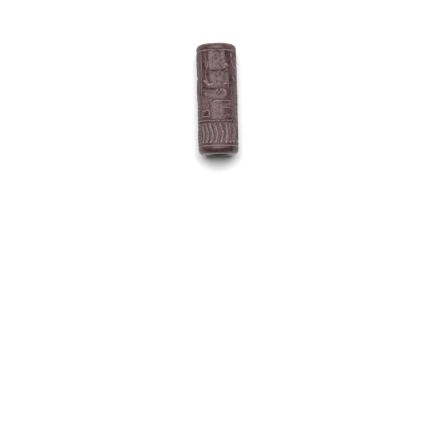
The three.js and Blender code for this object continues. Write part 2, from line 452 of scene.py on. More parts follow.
def chest_fold(k):
    """One of the folds that fall from the left shoulder."""
    return [(-1.3 + 0.62 * k, 17.9), (-1.15 + 0.58 * k, 17.2), (-0.9 + 0.5 * k, 16.5)]


def chest():
    stroke([(0.45, 18.3), (1.3, 18.25), (2.1, 18.35), (2.75, 17.75)], 0.26, 0.12)
    strokes(3, chest_fold, 0.28, 0.12)
    stroke([(0.05, 18.4), (0.2, 17.8)], 0.3, 0.14)
    groove([(0.05, 17.5), (-0.2, 17.1), (-0.35, 16.7)])
    groove([(1.05, 18.0), (0.85, 17.5), (0.9, 17.1)])
    stroke([(-0.55, 16.35), (-0.55, 15.5)], 0.26, 0.12)
    groove([(-0.2, 16.2), (-0.15, 15.3)])
    stroke([(1.1, 17.2), (1.15, 16.5)], 0.26, 0.12)
    stroke([(-0.6, 16.75), (0.2, 16.6), (0.95, 16.15)], 0.28, 0.12)
    groove([(0.9, 15.9), (1.3, 15.3), (1.2, 14.8)])
    stroke([(-0.45, 15.1), (0.2, 15.35), (1.1, 15.15)], 0.34, 0.12)


shoulders()
chest()
print("shoulders and chest cut, with", PLEATS, "pleats on the sleeve")

# %% Arms and staff
def arms_and_staff():
    stroke([(-0.6, 16.0), (-1.3, 15.4), (-2.15, 15.25), (-2.8, 15.85), (-3.4, 16.3)], 0.9, 0.24, 0.7, bodies)
    drill((-2.1, 15.2), 0.42, 0.14)
    stroke([(-2.65, 16.6), (-2.25, 15.7)], 0.62, 0.16, 0.8)
    stroke([(-3.6, 16.35), (-2.9, 16.25), (-2.45, 15.75)], 0.5, 0.09)
    stroke([(1.6, 15.95), (1.8, 15.4), (2.25, 15.1)], 0.42, 0.12)
    stroke([(2.2, 16.2), (3.1, 16.3)], 0.32, 0.12)
    stroke([(1.9, 15.3), (3.25, 15.4)], 0.6, 0.17, 0.8)
    stroke([(2.95, 16.4), (3.05, 15.4)], 0.5, 0.16, 0.8)
    drill((2.95, 14.75), 0.3, 0.4)
    hollow((-2.85, 21.2), (0.65, 2.6), 0.05, 0, bodies, 3.0)
    stroke([(-2.35, 16.2), (-2.85, 17.2), (-2.9, 18.5)], 0.4, 0.11, 0.5)
    stroke([(-2.75, 19.2), (-2.5, 19.9), (-2.55, 20.7)], 0.4, 0.11, 0.4)
    stroke([(-3.1, 18.9), (-3.0, 21.0), (-3.1, 23.0)], 0.26, 0.05)
    drill((-2.5, 19.8), 0.34, 0.12)


arms_and_staff()
print("arms and staff: deepest cut so far", round(float((bodies + details).max()), 2), "mm")

# %% Robe over the lap
SLANT = 0.46  # depth of the grooves between the slanting folds over the lap


def lap():
    hollow((-0.6, 12.95), (2.95, 1.25), 0.28, 0, bodies, 2.8)
    hollow((1.15, 13.2), (1.3, 1.2), 0.32)
    groove([(-3.9, 13.95), (-2.2, 14.0), (-1.0, 13.95), (-0.4, 14.15)], UNDERCUT)
    strokes(3, lambda k: [(-3.2 + 0.8 * k, 12.5), (-2.6 + 0.85 * k, 13.45)], 0.26, 0.1)
    strokes(2, lambda k: [(-2.75 + 0.8 * k, 12.6), (-2.3 + 0.85 * k, 13.4)], 0.28, 0.36)
    stroke([(-1.0, 12.35), (-0.4, 13.2)], 0.34, 0.14)
    stroke([(-0.35, 13.3), (0.3, 14.35)], 0.44, 0.28, 0.6)
    groove([(-0.35, 12.6), (0.2, 13.4), (0.75, 14.3)], SLANT)
    stroke([(0.1, 12.7), (0.75, 13.4), (1.4, 14.25)], 0.42, 0.26, 0.5)
    groove([(0.45, 12.5), (1.1, 13.15), (1.6, 13.85)], SLANT)
    stroke([(0.3, 12.1), (0.9, 12.6), (1.5, 13.3)], 0.26, 0.12)
    stroke([(1.3, 14.05), (2.05, 13.75), (2.2, 13.1), (1.75, 12.35)], 0.34, 0.07)
    stroke([(-1.6, 12.35), (-1.0, 12.75)], 0.3, 0.12)


lap()
print("lap cut, with grooves", SLANT, "mm deep between its folds")

# %% Robe over the legs
def hem(k):
    """One of the curved rows above the feet."""
    return [(-4.3, 9.3 + 0.45 * k), (-3.2, 9.45 + 0.42 * k), (-2.2, 9.25 + 0.45 * k)]


def legs():
    hollow((-3.25, 10.6), (1.5, 2.1), 0.07, 0, bodies, 3.2)
    hollow((-1.75, 10.4), (0.8, 1.9), 0.07, 0, bodies, 3.0)
    strokes(4, lambda k: [(-4.2 + 0.52 * k, 12.3), (-4.25 + 0.54 * k, 10.7)], 0.24, 0.05)
    strokes(3, lambda k: [(-3.95 + 0.53 * k, 12.1), (-4.0 + 0.54 * k, 11.0)], 0.26, 0.36)
    strokes(3, hem, 0.22, 0.09)
    drills([(-3.4, 10.35), (-2.75, 9.65), (-4.2, 10.2)], 0.22, 0.1)
    drills([(-3.75, 9.75), (-2.3, 10.2), (-3.1, 10.0)], 0.22, 0.4)
    stroke([(-4.6, 8.85), (-3.5, 8.7), (-2.85, 8.9), (-2.1, 8.75)], 0.36, 0.16, 0.7)
    hollow((-0.1, 9.0), (1.35, 2.45), 0.22, 0, bodies, 3.4)
    stroke([(-0.12, 10.3), (-0.1, 8.9)], 0.34, 0.13)
    strokes(3, lambda k: [(-1.25 + 0.28 * k, 10.8), (-1.35 + 0.32 * k, 9.2)], 0.2, 0.08)
    strokes(3, lambda k: [(0.3 + 0.3 * k, 10.9), (0.3 + 0.3 * k, 9.4)], 0.18, 0.1)
    strokes(4, lambda k: [(-1.15 + 0.6 * k, 8.5), (-1.1 + 0.6 * k, 6.8)], 0.3, 0.1)
    strokes(2, lambda k: [(-0.85 + 1.2 * k, 8.2), (-0.8 + 1.2 * k, 7.0)], 0.26, 0.32)
    stroke([(-0.95, 8.7), (-0.5, 8.35)], 0.28, 0.12)
    drill((0.5, 6.95), 0.32, 0.12)


legs()
print("robe cut:", int((bodies > 0).sum()), "vertices are sunk so far")

# %% Stool, footstool and platform
PLATFORM = 6.25
SEAT = 11.2


def stool():
    stroke([(-1.0, SEAT - 0.4), (-0.4, SEAT - 0.05), (2.0, SEAT - 0.05), (3.7, SEAT)], 0.42, 0.2, 0.7)
    stroke([(1.0, 9.42), (2.4, 9.45), (3.7, 9.4)], 0.4, 0.17, 0.7)
    hollow((2.3, 10.3), (1.5, 0.65), 0.08, 0, bodies, 3)
    strokes(6, lambda k: [(0.9 + 0.52 * k, SEAT - 0.4), (0.9 + 0.52 * k, 9.8)], 0.22, 0.07)
    strokes(6, lambda k: [(0.65 + 0.52 * k, SEAT - 0.4), (0.65 + 0.52 * k, 9.95)], 0.26, 0.34)
    stroke([(4.15, 6.4), (4.15, 11), (4.25, 15.2)], 0.34, 0.12, 0.6)
    groove([(1.2, 10.62), (2.3, 10.65), (3.4, 10.62)], UNDERCUT)
    hollow((2.5, 7.3), (1.3, 0.6), 0.07, 12, bodies)


def footstool():
    stroke([(-5.2, 7.3), (-3.6, 7.35), (-1.95, 7.35)], 0.36, 0.16, 0.7)
    stroke([(-4.3, 7.3), (-4.3, 8.7)], 0.32, 0.14, 0.7)
    stroke([(-2.1, 7.3), (-2.05, 8.7)], 0.4, 0.14, 0.7)


stool()
footstool()
stroke([(-6.0, 6.35), (-3.0, PLATFORM + 0.05), (0.8, PLATFORM - 0.08), (3.8, PLATFORM)], 0.42, 0.2, 0.8)
print("furniture cut, platform at", PLATFORM, "mm")

# %% [markdown]
# ## The fringe below the platform
# A row of wavy strokes, each with a drilled head and a drilled foot, fills the strip under the seated
# figure, and a dark scalloped cut parts it from the platform. One function cuts a stroke and a loop
# repeats it. A copied piece would repeat exactly, but here the bend, the width and the depth are drawn
# anew each time, as a hand's would be.

# %% Fringe
FRINGE_START = -5.95
FRINGE_STEP = 1.3
FRINGE_COUNT = 9
FRINGE_TOP = PLATFORM - 0.9
FEET = 0.9


def fringe_stroke(start):
    """One wavy stroke with its drilled head and foot, and the scallop of shadow above it."""
    bend = hand.uniform(0.45, 0.65)
    wave = [
        (start, FRINGE_TOP),
        (start + 0.25, FRINGE_TOP - 1.0),
        (start + bend, FRINGE_TOP - 2.2),
        (start + bend - 0.05, FRINGE_TOP - 3.4),
        (start + 0.2, FEET),
    ]
    stroke(wave, 1.2 * hand.uniform(0.75, 1.1), hand.uniform(0.14, 0.3), 0.6, bodies)
    stroke(wave, about(0.5), hand.uniform(0.02, 0.1), 0.6)
    drill((start, FRINGE_TOP - 0.05), 0.42, 0.12)
    drill((start + 0.15, FEET), 0.42, hand.uniform(0.04, 0.16))
    groove([(start - 0.3, 5.55), (start + 0.3, 5.82), (start + 0.95, 5.6)], UNDERCUT)


def cuts_between():
    """Deeper grooves that part some of the wavy strokes, and two sharper strokes on the right."""
    groove([(-4.0, 5.0), (-3.65, 3.9), (-3.55, 2.8), (-3.95, 1.2)])
    groove([(1.2, 4.8), (1.6, 3.6), (1.7, 2.6), (1.45, 1.1)])
    groove([(3.75, 4.4), (4.1, 3.3), (4.0, 2.0), (3.85, 0.9)], UNDERCUT)
    drill((1.2, 3.4), 0.36, 0.22)
    stroke([(2.1, 5.1), (2.35, 3.6), (2.25, 2.2), (2.2, 1.2)], 0.4, 0.2)
    stroke([(2.7, 5.3), (3.05, 4.8), (3.45, 4.0), (3.4, 2.6)], 0.42, 0.22)


for k in range(FRINGE_COUNT):
    fringe_stroke(FRINGE_START + FRINGE_STEP * k)
cuts_between()
print("fringe:", FRINGE_COUNT, "strokes,", FRINGE_STEP, "mm apart")

# %% [markdown]
# ## Signs in the sky
# A crescent with a disc in it, and a rosette of drilled dots. The cutter set the drill at even steps
# round a circle, and an arc of points does the same.

# %% Crescent and rosette
CRESCENT = (6.3, 21.6)
stroke(arc(CRESCENT, 1.95, 180, 370), 0.62, 0.24, 0.2)
stroke(arc(CRESCENT, 1.15, 195, 345), 0.36, 0.15, 0.3)
drill((CRESCENT[0] - 0.1, CRESCENT[1] + 1.3), 0.8, 0.55)
stroke([(4.25, 23.1), (4.4, 22.3)], 0.65, 0.22, 0.8)
stroke([(4.7, 20.7), (5.6, 20.6)], 0.32, 0.14)

ROSETTE = (16.6, 21.8)
drill(ROSETTE, 0.5, 0.26)
drills(arc(ROSETTE, 1.35, 0, 315, 8), 0.38, 0.22)
strokes(4, lambda k: [(16.2, 18.0 + 0.5 * k), (17.9, 18.05 + 0.5 * k)], 0.26, 0.12)
print("signs cut at", CRESCENT, ROSETTE)

# %% [markdown]
# ## The hero and the beasts
# In the middle of the far side a hero stands with arms spread and holds two beasts apart. The left side
# nearly mirrors the right, so one function cuts an arm and a leg and one cuts a beast, and both are
# turned about for the other side.

# %% Hero
HERO = 10.8


def turned(a, side, points):
    """Points beside a figure's middle, which is at a; they are mirrored where side is -1."""
    return [(a + shift * side, v) for shift, v in points]


def hero_body(a):
    stroke([(a - 0.75, 14.0), (a - 0.7, 13.0), (a, 12.2), (a + 0.75, 13.0), (a + 0.7, 13.7)], 0.4, 0.2)
    hollow((a, 13.1), (0.75, 1.1), 0.2)
    strokes(3, lambda k: [(a - 0.4 + 0.4 * k, 13.9), (a - 0.25 + 0.25 * k, 12.7)], 0.2, 0.1)
    hollow((a, 9.6), (1.75, 2.9), 0.32, 0, bodies, 2.6)
    hollow((a, 11.7), (1.5, 0.9), 0.3)
    belts = [8.5 + 0.42 * k for k in range(3)]
    strokes(3, lambda k: [(a - 1.4, belts[k]), (a, belts[k] - 0.15), (a + 1.4, belts[k])], 0.24, 0.1)
    strokes(5, lambda k: [(a - 0.9 + 0.45 * k, 11.9), (a - 0.8 + 0.4 * k, 9.9)], 0.24, 0.08)
    strokes(6, lambda k: [(a - 1.2 + 0.48 * k, 8.1), (a - 1.35 + 0.54 * k, 6.6)], 0.24, 0.1)
    drill((a + 2.35, 11.7), 0.42, 0.26)


def hero_limbs(a, side):
    """One arm, its wing-like sleeve, and one leg; side is -1 or 1."""
    arm = [(0.9, 14.3), (2.1, 15.4), (3.9, 16.1), (5.4, 16.9), (6.1, 17.2)]
    stroke(turned(a, side, arm), 0.9, 0.34, 0.4, bodies)
    stroke(turned(a, side, [(shift, v + 0.12) for shift, v in arm[:4]]), 0.24, 0.08)
    drill((a + 5.75 * side, 17.15), 0.55, 0.24)
    tops = [(2.4 + 0.7 * k, 15.0 + 0.28 * k) for k in range(5)]
    tips = [(2.7 + 0.62 * k, 13.2 + 0.35 * k) for k in range(5)]
    strokes(5, lambda k: turned(a, side, [tops[k], tips[k]]), 0.3, 0.12)
    hollow((a + 0.95 * side, 5.6), (0.8, 1.8), 0.28, 10 * side)
    stroke(turned(a, side, [(0.9, 5.4), (1.1, 3.8), (1.8, 1.7)]), 0.62, 0.26, 0.7)
    stroke(turned(a, side, [(1.7, 1.25), (3.7, 1.15)]), 0.42, 0.2, 0.6)
    drill((a + 1.0 * side, 3.9), 0.3, 0.12)


hero_body(HERO)
for side in (-1, 1):
    hero_limbs(HERO, side)
print("hero cut at", HERO)

# %% Beasts
BEASTS = ((6.4, 1), (16.2, -1))  # where each stands, and on which side of it the hero is


def beast_body(a, side):
    """A lion on its hind legs that turns to the hero; side is 1 where the hero stands to its right."""
    hollow((a - 0.2 * side, 8.9), (1.15, 3.1), 0.3, -5 * side, bodies, 2.4)
    hollow((a, 11.9), (1.0, 1.0), 0.28)
    hollow((a + 0.9 * side, 12.7), (0.9, 0.5), 0.28, 35 * side)
    stroke(turned(a, side, [(-0.9, 10.7), (0, 10.75), (0.8, 11.7), (1.4, 12.8)]), 0.36, 0.2)
    stroke(turned(a, side, [(-1.9, 13.0), (-1.95, 10), (-1.7, 7.0)]), 0.3, 0.12, 0.6)

    def rib(k):
        return turned(a, side, [(-1.0, 7.2 + 0.62 * k), (-0.1, 6.9 + 0.62 * k), (0.6, 7.1 + 0.6 * k)])

    strokes(6, rib, 0.24, 0.1)
    strokes(4, lambda k: turned(a, side, [(-0.6, 11.5 + 0.3 * k), (0.2, 11.9 + 0.3 * k)]), 0.2, 0.09)
    drills([(a + (0.9 + 0.25 * k) * side, 9.9 - 1.2 * k) for k in range(3)], 0.38, 0.22)
    drill((a + 0.35 * side, 12.5), 0.16, 0.08)
    hollow((a + 0.2 * side, 9.9), (0.65, 0.8), 0.55)


def beast_legs(a, side):
    hollow((a - 0.4 * side, 5.6), (1.1, 1.1), 0.28)
    hollow((a + 0.3 * side, 2.7), (0.75, 1.9), 0.5)
    haunch = [(-1.4, 4.3), (-0.8, 5.1), (-0.3, 4.5), (0.5, 5.5), (1.3, 4.2)]
    far_leg = [(-1.3, 4.4), (-1.0, 3.0), (-1.9, 2.6), (-3.1, 1.9)]
    near_leg = [(1.2, 4.3), (0.6, 3.2), (0.8, 1.8), (2.6, 1.3)]
    for points in (haunch, far_leg, near_leg):
        stroke(turned(a, side, points), 0.42, 0.2, 0.6)
    stroke(turned(a, side, [(-2.1, 1.2), (-1.0, 1.2)]), 0.38, 0.18)
    stroke(turned(a, side, [(-1.3, 6.2), (-2.3, 6.9), (-2.1, 8.6)]), 0.3, 0.13)
    strokes(3, lambda k: [(a - 0.9 * side + 0.4 * k, 6.4), (a - 0.9 * side + 0.4 * k, 5.3)], 0.22, 0.1)


for place, side in BEASTS:
    beast_body(place, side)
    beast_legs(place, side)
print("beasts cut at", [place for place, side in BEASTS])

# %% Bull's head between the signs
BULL = (12.8, 20.5)


def bull_head(a, v):
    """A young bull's head with its horns, seen from the front."""
    hollow((a, v - 0.6), (0.6, 1.0), 0.24)
    stroke([(a - 1.5, v + 0.7), (a - 1.0, v + 0.1), (a - 0.3, v - 0.2)], 0.4, 0.2)
    stroke([(a + 0.3, v - 0.2), (a + 0.7, v + 0.35), (a + 1.9, v + 0.6)], 0.4, 0.2)
    stroke([(a - 0.6, v - 1.2), (a + 0.1, v - 1.4), (a + 0.8, v - 1.35)], 0.42, 0.2)
    drills([(a - 0.28, v - 0.4), (a + 0.28, v - 0.4)], 0.16, 0.08)
    strokes(3, lambda k: [(a - 0.6 + 0.5 * k, v + 2.7), (a - 0.2 + 0.5 * k, v + 2.9)], 0.26, 0.12)


bull_head(*BULL)
print("bull's head cut at", BULL)

# %% [markdown]
# ## The standing figure
# A second figure stands frontally in a broad hat and a long robe, with clasped hands. Beside it runs a
# column of short dashes. A robe's folds are rows of nearly equal strokes, so most of it is made by
# counted strokes that spread a little towards the hem.

# %% Standing figure: head and hat
STANDING = 22.4


def standing_head(a):
    stroke([(a - 3.0, 20.3), (a - 1.4, 21.5), (a + 1.0, 21.6), (a + 3.6, 20.4)], 0.5, 0.22, 0.5)
    stroke([(a - 2.0, 20.3), (a - 1.0, 20.9), (a + 0.8, 20.9), (a + 2.2, 20.0)], 0.36, 0.16, 0.5)
    hollow((a, 22.6), (1.15, 0.8), 0.22)
    strokes(3, lambda k: [(a - 0.8, 22.2 + 0.38 * k), (a + 0.8, 22.2 + 0.38 * k)], 0.22, 0.09)
    hollow((a, 19.9), (1.1, 1.25), 0.28, 0, bodies, 2.4)
    strokes(5, lambda k: [(a - 0.8 + 0.4 * k, 19.3), (a - 0.55 + 0.28 * k, 17.9)], 0.22, 0.11)
    drills([(a - 0.35, 20.2), (a + 0.35, 20.2)], 0.16, 0.08)
    stroke([(a, 20.3), (a, 19.75)], 0.22, 0.08)
    for side in (-1, 1):
        drills([(a + (1.45 + 0.2 * k) * side, 20.3 - 0.7 * k) for k in range(4)], 0.34, 0.18)


standing_head(STANDING)
print("hat and head cut at", STANDING)

# %% Standing figure: body and robe
def standing_body(a):
    hollow((a, 16.6), (2.0, 1.6), 0.28, 0, bodies, 3)
    for side in (-1, 1):
        sleeve = [(1.5, 17.8), (2.7, 16.8), (2.9, 14.9), (2.2, 13.4), (1.6, 14.6)]
        stroke([(a + shift * side, v) for shift, v in sleeve], 0.62, 0.24, 0.7, bodies)
        strokes(4, lambda k: [(a + 2.4 * side, 14.4 + 0.6 * k), (a + 3.1 * side, 14.2 + 0.6 * k)], 0.22, 0.1)
    stroke([(a - 2.7, 15.5), (a - 1.9, 15.2), (a - 0.9, 14.4), (a + 0.1, 15.1)], 0.4, 0.2)

    def chest_row(k):
        return [(a - 1.5, 15.2 + 0.42 * k), (a, 15.45 + 0.4 * k), (a + 1.5, 15.2 + 0.42 * k)]

    strokes(5, chest_row, 0.22, 0.11)
    hollow((a, 13.0), (1.35, 1.1), 0.26)
    strokes(3, lambda k: [(a - 1.35, 12.4 + 0.45 * k), (a + 1.35, 12.45 + 0.45 * k)], 0.26, 0.12)


def skirt(a):
    hollow((a, 7.3), (2.2, 5.2), 0.28, 0, bodies, 3.4)

    def skirt_fold(k):
        return [(a - 1.05 + 0.35 * k, 11.9), (a - 1.6 + 0.53 * k, 6.5), (a - 1.75 + 0.58 * k, 2.6)]

    strokes(7, skirt_fold, 0.26, 0.13)
    strokes(4, lambda k: [(a - 1.9, 3.2 + 2.2 * k), (a, 3.0 + 2.2 * k), (a + 1.9, 3.2 + 2.2 * k)], 0.24, 0.08)
    drills([(a - 1.8 + 0.6 * k, 2.2) for k in range(7)], 0.26, 0.16)
    for side in (-1, 1):
        hollow((a + 0.95 * side, 1.3), (0.85, 0.42), 0.24)
    stroke([(a - 2.4, 0.75), (a, 0.8), (a + 4.6, 0.85)], 0.32, 0.14, 0.7)


standing_body(STANDING)
skirt(STANDING)
print("standing figure cut at", STANDING)

# %% Column of dashes
DASHES = GIRTH - 6.5
DASH_COUNT = 11
DASH_STEP = 0.95


def dash(k):
    v = 1.6 + DASH_STEP * k
    return [(DASHES - 0.95, v), (DASHES + 0.85, v - 0.05)]


strokes(DASH_COUNT, dash, 0.42, 0.18)
stroke([(DASHES - 0.5, 16.8), (DASHES - 0.2, 13.4), (DASHES + 0.3, 13.4), (DASHES + 0.9, 16.8)], 0.4, 0.18)
stroke([(DASHES + 0.3, 22.8), (DASHES + 0.4, 18.2)], 0.34, 0.14)
strokes(5, lambda k: [(DASHES - 0.4, 18.6 + 0.7 * k), (DASHES + 1.0, 18.7 + 0.7 * k)], 0.26, 0.12)
print("dashes:", DASH_COUNT, "strokes at", round(DASHES, 2))

# %% [markdown]
# ## Sink the frieze
# The two depths are added, roughened where the tool chattered, and softened by wear, and small natural
# pits join them. The sum is painted on the mesh as a vertex group, and a Displace modifier reads that
# group and sinks each vertex along its own normal. Bump in the material would be quicker, but real walls
# catch the light from every side and stay in the mesh.

# %% Wear
CHATTER = 0.035
WIDE_PASSES = 16  # this much softening leaves only the wide forms

chatter = ripple(straight_a, straight_v, seed=5, waves=40, size=CHATTER, finest=0.55)
cut = np.maximum(bodies + details + np.where(bodies > 0, chatter, 0), 0)
order = np.lexsort((straight_a.round(4), straight_v.round(4)))  # row by row, from the lower end


def as_rows(values):
    """The side's values as a sheet: one row for each ring."""
    return values[order].reshape(-1, SIDES)


def soften(sheet, passes):
    """Averages each value with its neighbours, round the girth and along the side."""
    for _ in range(passes):
        sheet = (np.roll(sheet, 1, 1) + 4 * sheet + np.roll(sheet, -1, 1)) / 6
        ends = np.pad(sheet, ((1, 1), (0, 0)), mode="edge")
        sheet = (ends[:-2] + 4 * ends[1:-1] + ends[2:]) / 6
    return sheet


worn = soften(as_rows(cut), 1)
narrow = worn - soften(as_rows(cut), WIDE_PASSES)  # large only where a cut is deep for its width
# painted shade for the deepest cuts, softened like the depth
painted_shade_sheet = soften(as_rows(painted_shade), 1)
print("side grid", worn.shape, "deepest", round(float(worn.max()), 3), "mm")

# %% Pits
PITS = 260
PIT_RADII = (0.12, 0.3)
PIT_DEPTH = 0.06
PITS_BEYOND = 0.8  # how far past the ruled lines they go

pits = np.zeros(len(on_side))
for _ in range(PITS):
    spot = (hand.uniform(0, GIRTH), hand.uniform(-PITS_BEYOND, FRIEZE_HEIGHT + PITS_BEYOND))
    drill(spot, hand.uniform(*PIT_RADII), PIT_DEPTH, pits)
worn = worn + as_rows(pits)
print("pits:", PITS, "natural, up to", 2 * PIT_RADII[1], "mm across")

# %% Displace
FULL_DEPTH = 0.8  # the depth at which a vertex's weight in the group is 1


def on_whole_seal(sheet):
    """The side's values for all the seal's vertices, with 0 on the rest."""
    values = np.zeros(len(seal.data.vertices))
    values[on_side[order]] = sheet.ravel()
    return values


depth_mm = on_whole_seal(worn)
narrow_mm = on_whole_seal(narrow)
painted_shade_share = on_whole_seal(painted_shade_sheet)

group = seal.vertex_groups.new(name="cut")
for index in np.flatnonzero(depth_mm > 0):
    group.add([int(index)], float(min(depth_mm[index] / FULL_DEPTH, 1)), "REPLACE")
sink = seal.modifiers.new("sink the frieze", "DISPLACE")
sink.vertex_group = "cut"
sink.mid_level = 0
sink.strength = -FULL_DEPTH * MM
bpy.context.view_layer.objects.active = seal
bpy.ops.object.modifier_apply(modifier=sink.name)
print("frieze sunk:", int((depth_mm > 0).sum()), "vertices")

# %% [markdown]
# ## Bore, resting flat, chips, and painted light on the edges
# The bore was drilled from both ends and meets in a waist, with a short funnel at each mouth. The
# underside has a narrow worn flat that the seal lies on. The side was never ground quite true, and small
# chips have gone from the rims. The edges of the end faces get a pale painted highlight. Fingers have
# given the band below the lower ruled line the best polish, and painted shade darkens it. Boolean cuts
# could make the bore and the chips, but the vertices are there already, and moving them keeps the mesh
# closed.

# %% Shape the bore
BORE_RADIUS = 1.8
WAIST_RADIUS = 1.5
MOUTH_DEPTH = 0.4

places = vertex_places()
x, y, z = places[:, 0], places[:, 1], places[:, 2] - axis_height
out = np.hypot(x, z)
in_bore = out < MOUTH_RADIUS + TINY
depth_in = HALF * (1 - abs(y[in_bore]) / HALF) ** 2  # the rings crowd towards the mouths
widening = (BORE_RADIUS - WAIST_RADIUS) * (1 - depth_in / HALF)
funnel = (MOUTH_RADIUS - BORE_RADIUS) * np.clip(1 - depth_in / MOUTH_DEPTH, 0, 1) ** 1.5
shrink = (WAIST_RADIUS + widening + funnel) / out[in_bore]
x[in_bore] *= shrink
z[in_bore] *= shrink
y[in_bore] = np.sign(y[in_bore]) * (HALF - depth_in)
depth_mm[in_bore] = FULL_DEPTH  # a bore is matt, and like the deepest cuts its colour gets painted shade
painted_shade_share[in_bore] = 1
print("bore", int(in_bore.sum()), "vertices")

# %% Uneven grinding and chips
UNEVEN = 0.035
CHIPS = 16
CHIP_SIZES = (0.25, 0.6)
CHIP_DEPTH = 0.3  # as a share of the chip's size

dice = np.random.default_rng(11)
out = np.hypot(x, z)
outside = out > MOUTH_RADIUS + TINY
grinding = ripple(np.arctan2(x, z) * radius, y, seed=12, waves=8, size=UNEVEN, finest=6.0)
pushed = np.where(outside, grinding - UNEVEN, 0)
for _ in range(CHIPS):
    end = dice.choice([-1, 1])
    turn = dice.uniform(-math.pi, math.pi)
    from_axis = radius - dice.uniform(0.1, 0.55)
    size = dice.uniform(*CHIP_SIZES)
    from_middle = end * (HALF - dice.uniform(0.1, 0.5))
    sideways = x - from_axis * math.sin(turn)
    upwards = z - from_axis * math.cos(turn)
    gap = np.sqrt(sideways**2 + (y - from_middle) ** 2 + upwards**2)
    pushed -= np.where(outside, CHIP_DEPTH * size * np.clip(1 - (gap / size) ** 2, 0, 1), 0)
print("chips:", CHIPS, "deepest", round(-float(pushed.min()), 2), "mm with the grinding")

# %% Push the surface in, and rest the seal on its flat
swell = 1 + np.minimum(pushed, 0) / np.maximum(out, TINY)
places[:, 0] = x * swell
places[:, 1] = y
places[:, 2] = np.maximum(z * swell + axis_height, 0.0)
seal.data.vertices.foreach_set("co", (places * MM).ravel())
seal.data.update()
print("resting flat:", int((places[:, 2] == 0).sum()), "vertices on the table")

# %% Painted highlights on the edges, and the handled band with its painted shade
HIGHLIGHT_REACH = 0.6
UPPER_HIGHLIGHT = (0.55, 0.2)  # where the painted highlight is palest: out from the end face's edge, and down from the end
LOWER_HIGHLIGHT = (0.1, 0.0)
LOWER_HIGHLIGHT_FROM = 2.0  # the lower edge gets the painted highlight to the left and right of this, and not in between
LOWER_HIGHLIGHT_FADE = 0.8
BARE_BAND = 0.4  # the best polish and a painted shade start this far below the lower ruled line

face_edge = radius - EDGE_ROUNDING
upper_gap = np.hypot(out - face_edge - UPPER_HIGHLIGHT[0], HALF - UPPER_HIGHLIGHT[1] - y)
lower_gap = np.hypot(out - face_edge - LOWER_HIGHLIGHT[0], HALF - LOWER_HIGHLIGHT[1] + y)
upper = np.clip(1 - upper_gap / HIGHLIGHT_REACH, 0, 1)
lower = np.clip(1 - lower_gap / HIGHLIGHT_REACH, 0, 1)
rim_highlight = upper + lower * np.clip((abs(x) - LOWER_HIGHLIGHT_FROM) / LOWER_HIGHLIGHT_FADE, 0, 1)
# the band below the lower ruled line: smoother, and darkened with painted shade
polish_and_shade = np.clip((-y - (HALF - LOWER_MARGIN + BARE_BAND)) / BARE_BAND, 0, 1)
print("rubbed:", int((rim_highlight > 0).sum()), "vertices, handled:", int((polish_and_shade > 0).sum()))

# %% Keep the wear and the painted light and shade on the mesh, for the stone's finish
wear_and_painted_light = {
    "cut_depth": depth_mm,
    "narrow": narrow_mm,
    "painted_shade": painted_shade_share,
    "rim_highlight": rim_highlight,
    "polish_and_shade": polish_and_shade,
}
for name, values in wear_and_painted_light.items():
    attribute = seal.data.attributes.new(name, "FLOAT", "POINT")
    attribute.data.foreach_set("value", values.astype(np.float32))
bpy.ops.object.select_all(action="DESELECT")
seal.select_set(True)
bpy.ops.object.shade_smooth()
print("attributes:", *wear_and_painted_light)
print("triangles:", sum(len(face.vertices) - 2 for face in seal.data.polygons))

# %% [markdown]
# ## The stone
# Haematite is a dense iron ore. Ground with emery and worn by hands, it is dark red-brown with a soft,
# broad, waxy sheen. It stays matt and paler where it is cut, since broken grains scatter the light. Its
# own refractive index is near 3, which gives a fresh polish a metallic glint. A worn skin of fine
# scratches and old wax mirrors far less, and 1.5 gives the dim sheen of a handled seal.

# %% Nodes and colours
def node(tree, kind, inputs=None, **settings):
    """Adds one node with its settings; a socket given as an input is linked, a value is set."""
    made = tree.nodes.new(kind)
    for name, value in settings.items():
        setattr(made, name, value)
    for name, value in (inputs or {}).items():
        if isinstance(value, bpy.types.NodeSocket):
            tree.links.new(value, made.inputs[name])
        else:
            made.inputs[name].default_value = value
    return made


def linear(hex_colour):
    """An sRGB hex colour as the linear red, green, blue and alpha that shaders use."""
    channels = [int(hex_colour[i : i + 2], 16) / 255 for i in (1, 3, 5)]
    return [c / 12.92 if c <= 0.04045 else ((c + 0.055) / 1.055) ** 2.4 for c in channels] + [1.0]


def new_material(name):
    """A material with an empty node tree."""
    material = bpy.data.materials.new(name)
    material.use_nodes = True
    material.node_tree.nodes.clear()
    return material, material.node_tree


print("half grey #808080 is", round(linear("#808080")[0], 3), "in linear light")

# %% [markdown]
# The colour is built in layers. The polished ground has clouds a few millimetres across, and finer
# mottling of the iron grains. The cut stone is paler. The narrow cuts are paler still, with dust from
# years of sealing and a painted highlight. Painted shade darkens the deepest cuts and the bore, and the
# band below the lower ruled line. Painted highlights make the edges of the end faces palest, in patches.
# A painted image could hold all this, but values kept on the mesh follow the cuts exactly, and noise has
# no seam.

# %% Haematite: the wear, read from the mesh
stone, tree = new_material("haematite_polished_and_cut")
read = {}
for name in wear_and_painted_light:
    read[name] = node(tree, "ShaderNodeAttribute", attribute_name=name).outputs["Fac"]
print("read from the mesh:", *read)

# %% Haematite: its patterns
CLOUD = 3.0
MOTTLE = 0.7
GRAIN = 0.3  # real grains are far finer; this is as fine as shows on a piece this small

